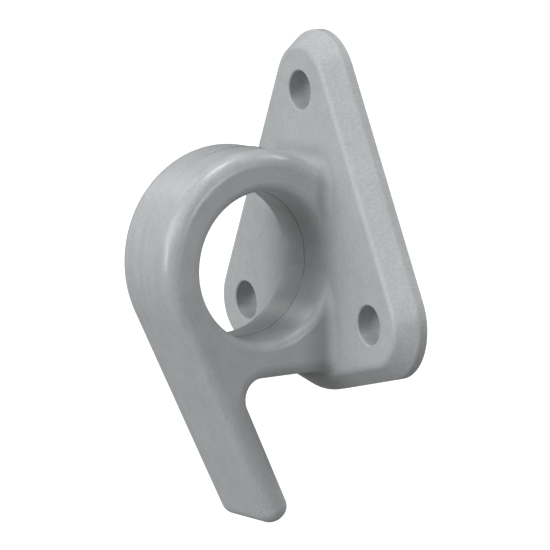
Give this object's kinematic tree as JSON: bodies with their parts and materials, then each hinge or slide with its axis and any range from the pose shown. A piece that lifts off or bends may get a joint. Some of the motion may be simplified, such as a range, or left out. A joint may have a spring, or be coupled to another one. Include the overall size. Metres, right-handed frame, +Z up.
{
  "type": "rope hook",
  "caption": "Moulded rope hook: a rounded triangular back plate with screw holes, a ring for a line to pass through and a slanted tail to hang coils on.",
  "frame": {"origin": "on the wall face of the back plate, midway between the two lower screw holes", "axes": "+Z up along the plate's height, +Y into the wall, so the hook stands out towards -Y, X across the plate"},
  "size_m": [0.0462, 0.0291, 0.0647],
  "materials": {
    "body": "satin grey moulded plastic"
  },
  "bodies": {
    "root": {"rope_hook": "body"}
  },
  "joints": []
}
